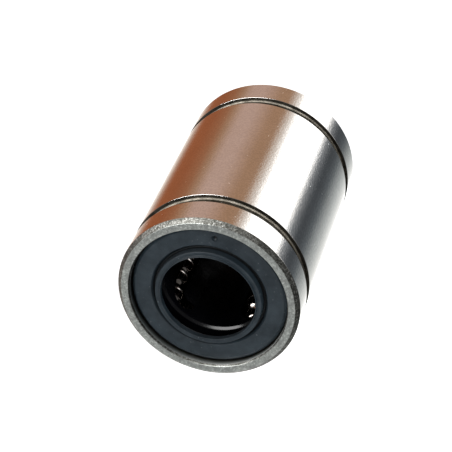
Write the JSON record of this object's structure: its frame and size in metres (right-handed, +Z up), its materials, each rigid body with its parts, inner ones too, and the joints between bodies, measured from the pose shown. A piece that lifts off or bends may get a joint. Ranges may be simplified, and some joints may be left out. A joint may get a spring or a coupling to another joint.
{
  "type": "linear ball bushing",
  "caption": "Closed linear ball bushing for a 10 mm shaft: ground steel sleeve with two snap-ring grooves, rubber end seals, and recirculating ball circuits in a resin retainer.",
  "frame": {"origin": "centre of the bushing, on the shaft's axis", "axes": "+Y along the shaft's axis towards the rear seal, so the front seal faces -Y; +Z up with the bushing lying on its side"},
  "size_m": [0.019, 0.029, 0.019],
  "materials": {
    "bearing_steel": "ground and polished, with rougher turned ends",
    "seal_rubber": "matte moulded rubber",
    "retainer_resin": "oiled black resin",
    "ball_steel": "mirror polished",
    "spring_steel": "dark hardened spring steel"
  },
  "bodies": {
    "root": {"outer_cylinder": "bearing_steel", "ball_retainer": "retainer_resin", "front_seal": "seal_rubber", "rear_seal": "seal_rubber", "front_retaining_ring": "spring_steel", "rear_retaining_ring": "spring_steel"},
    "circuit_1_load_row": {"circuit_1_load_ball_1": "ball_steel", "circuit_1_load_ball_2": "ball_steel", "circuit_1_load_ball_3": "ball_steel", "circuit_1_load_ball_4": "ball_steel", "circuit_1_load_ball_5": "ball_steel", "circuit_1_load_ball_6": "ball_steel", "circuit_1_load_ball_7": "ball_steel"},
    "circuit_1_return_row": {"circuit_1_return_row": "ball_steel"},
    "circuit_1_front_turn": {"circuit_1_front_turn_ball_1": "ball_steel", "circuit_1_front_turn_ball_2": "ball_steel"},
    "circuit_1_rear_turn": {"circuit_1_rear_turn_ball_1": "ball_steel", "circuit_1_rear_turn_ball_2": "ball_steel"},
    "circuit_2_load_row": {"circuit_2_load_ball_1": "ball_steel", "circuit_2_load_ball_2": "ball_steel", "circuit_2_load_ball_3": "ball_steel", "circuit_2_load_ball_4": "ball_steel", "circuit_2_load_ball_5": "ball_steel", "circuit_2_load_ball_6": "ball_steel", "circuit_2_load_ball_7": "ball_steel"},
    "circuit_2_return_row": {"circuit_2_return_row": "ball_steel"},
    "circuit_2_front_turn": {"circuit_2_front_turn_ball_1": "ball_steel", "circuit_2_front_turn_ball_2": "ball_steel"},
    "circuit_2_rear_turn": {"circuit_2_rear_turn_ball_1": "ball_steel", "circuit_2_rear_turn_ball_2": "ball_steel"},
    "circuit_3_load_row": {"circuit_3_load_ball_1": "ball_steel", "circuit_3_load_ball_2": "ball_steel", "circuit_3_load_ball_3": "ball_steel", "circuit_3_load_ball_4": "ball_steel", "circuit_3_load_ball_5": "ball_steel", "circuit_3_load_ball_6": "ball_steel", "circuit_3_load_ball_7": "ball_steel"},
    "circuit_3_return_row": {"circuit_3_return_row": "ball_steel"},
    "circuit_3_front_turn": {"circuit_3_front_turn_ball_1": "ball_steel", "circuit_3_front_turn_ball_2": "ball_steel"},
    "circuit_3_rear_turn": {"circuit_3_rear_turn_ball_1": "ball_steel", "circuit_3_rear_turn_ball_2": "ball_steel"},
    "circuit_4_load_row": {"circuit_4_load_ball_1": "ball_steel", "circuit_4_load_ball_2": "ball_steel", "circuit_4_load_ball_3": "ball_steel", "circuit_4_load_ball_4": "ball_steel", "circuit_4_load_ball_5": "ball_steel", "circuit_4_load_ball_6": "ball_steel", "circuit_4_load_ball_7": "ball_steel"},
    "circuit_4_return_row": {"circuit_4_return_row": "ball_steel"},
    "circuit_4_front_turn": {"circuit_4_front_turn_ball_1": "ball_steel", "circuit_4_front_turn_ball_2": "ball_steel"},
    "circuit_4_rear_turn": {"circuit_4_rear_turn_ball_1": "ball_steel", "circuit_4_rear_turn_ball_2": "ball_steel"}
  },
  "joints": [
    {"name": "circuit_1_load_slide", "type": "slide", "parent": "root", "child": "circuit_1_load_row", "axis": [0, 1, 0], "range_m": [-0.00121, 0.00121]},
    {"name": "circuit_1_return_slide", "type": "slide", "parent": "root", "child": "circuit_1_return_row", "axis": [0, 1, 0], "range_m": [-0.00121, 0.00121]},
    {"name": "circuit_1_front_turn_hinge", "type": "hinge", "parent": "root", "child": "circuit_1_front_turn", "pos_m": [0.0041, -0.00847, 0.00467], "axis": [-0.7588, -0.1392, -0.6363], "range_deg": [-45.01, 45.01]},
    {"name": "circuit_1_rear_turn_hinge", "type": "hinge", "parent": "root", "child": "circuit_1_rear_turn", "pos_m": [0.0041, 0.00847, 0.00467], "axis": [0.7588, -0.1392, 0.6363], "range_deg": [-45.01, 45.01]},
    {"name": "circuit_2_load_slide", "type": "slide", "parent": "root", "child": "circuit_2_load_row", "axis": [0, 1, 0], "range_m": [-0.00121, 0.00121]},
    {"name": "circuit_2_return_slide", "type": "slide", "parent": "root", "child": "circuit_2_return_row", "axis": [0, 1, 0], "range_m": [-0.00121, 0.00121]},
    {"name": "circuit_2_front_turn_hinge", "type": "hinge", "parent": "root", "child": "circuit_2_front_turn", "pos_m": [-0.00467, -0.00847, 0.0041], "axis": [0.6363, -0.1392, -0.7588], "range_deg": [-45.01, 45.01]},
    {"name": "circuit_2_rear_turn_hinge", "type": "hinge", "parent": "root", "child": "circuit_2_rear_turn", "pos_m": [-0.00467, 0.00847, 0.0041], "axis": [-0.6363, -0.1392, 0.7588], "range_deg": [-45.01, 45.01]},
    {"name": "circuit_3_load_slide", "type": "slide", "parent": "root", "child": "circuit_3_load_row", "axis": [0, 1, 0], "range_m": [-0.00121, 0.00121]},
    {"name": "circuit_3_return_slide", "type": "slide", "parent": "root", "child": "circuit_3_return_row", "axis": [0, 1, 0], "range_m": [-0.00121, 0.00121]},
    {"name": "circuit_3_front_turn_hinge", "type": "hinge", "parent": "root", "child": "circuit_3_front_turn", "pos_m": [-0.0041, -0.00847, -0.00467], "axis": [0.7588, -0.1392, 0.6363], "range_deg": [-45.01, 45.01]},
    {"name": "circuit_3_rear_turn_hinge", "type": "hinge", "parent": "root", "child": "circuit_3_rear_turn", "pos_m": [-0.0041, 0.00847, -0.00467], "axis": [-0.7588, -0.1392, -0.6363], "range_deg": [-45.01, 45.01]},
    {"name": "circuit_4_load_slide", "type": "slide", "parent": "root", "child": "circuit_4_load_row", "axis": [0, 1, 0], "range_m": [-0.00121, 0.00121]},
    {"name": "circuit_4_return_slide", "type": "slide", "parent": "root", "child": "circuit_4_return_row", "axis": [0, 1, 0], "range_m": [-0.00121, 0.00121]},
    {"name": "circuit_4_front_turn_hinge", "type": "hinge", "parent": "root", "child": "circuit_4_front_turn", "pos_m": [0.00467, -0.00847, -0.0041], "axis": [-0.6363, -0.1392, 0.7588], "range_deg": [-45.01, 45.01]},
    {"name": "circuit_4_rear_turn_hinge", "type": "hinge", "parent": "root", "child": "circuit_4_rear_turn", "pos_m": [0.00467, 0.00847, -0.0041], "axis": [0.6363, -0.1392, -0.7588], "range_deg": [-45.01, 45.01]}
  ],
  "couplings": [
    {"joint": "circuit_1_return_slide", "follows": "circuit_1_load_slide", "ratio": -1},
    {"joint": "circuit_1_front_turn_hinge", "follows": "circuit_1_load_slide", "rad_per_m": -649.09},
    {"joint": "circuit_1_rear_turn_hinge", "follows": "circuit_1_load_slide", "rad_per_m": 649.09},
    {"joint": "circuit_2_return_slide", "follows": "circuit_2_load_slide", "ratio": -1},
    {"joint": "circuit_2_front_turn_hinge", "follows": "circuit_2_load_slide", "rad_per_m": -649.09},
    {"joint": "circuit_2_rear_turn_hinge", "follows": "circuit_2_load_slide", "rad_per_m": 649.09},
    {"joint": "circuit_3_return_slide", "follows": "circuit_3_load_slide", "ratio": -1},
    {"joint": "circuit_3_front_turn_hinge", "follows": "circuit_3_load_slide", "rad_per_m": -649.09},
    {"joint": "circuit_3_rear_turn_hinge", "follows": "circuit_3_load_slide", "rad_per_m": 649.09},
    {"joint": "circuit_4_return_slide", "follows": "circuit_4_load_slide", "ratio": -1},
    {"joint": "circuit_4_front_turn_hinge", "follows": "circuit_4_load_slide", "rad_per_m": -649.09},
    {"joint": "circuit_4_rear_turn_hinge", "follows": "circuit_4_load_slide", "rad_per_m": 649.09}
  ]
}
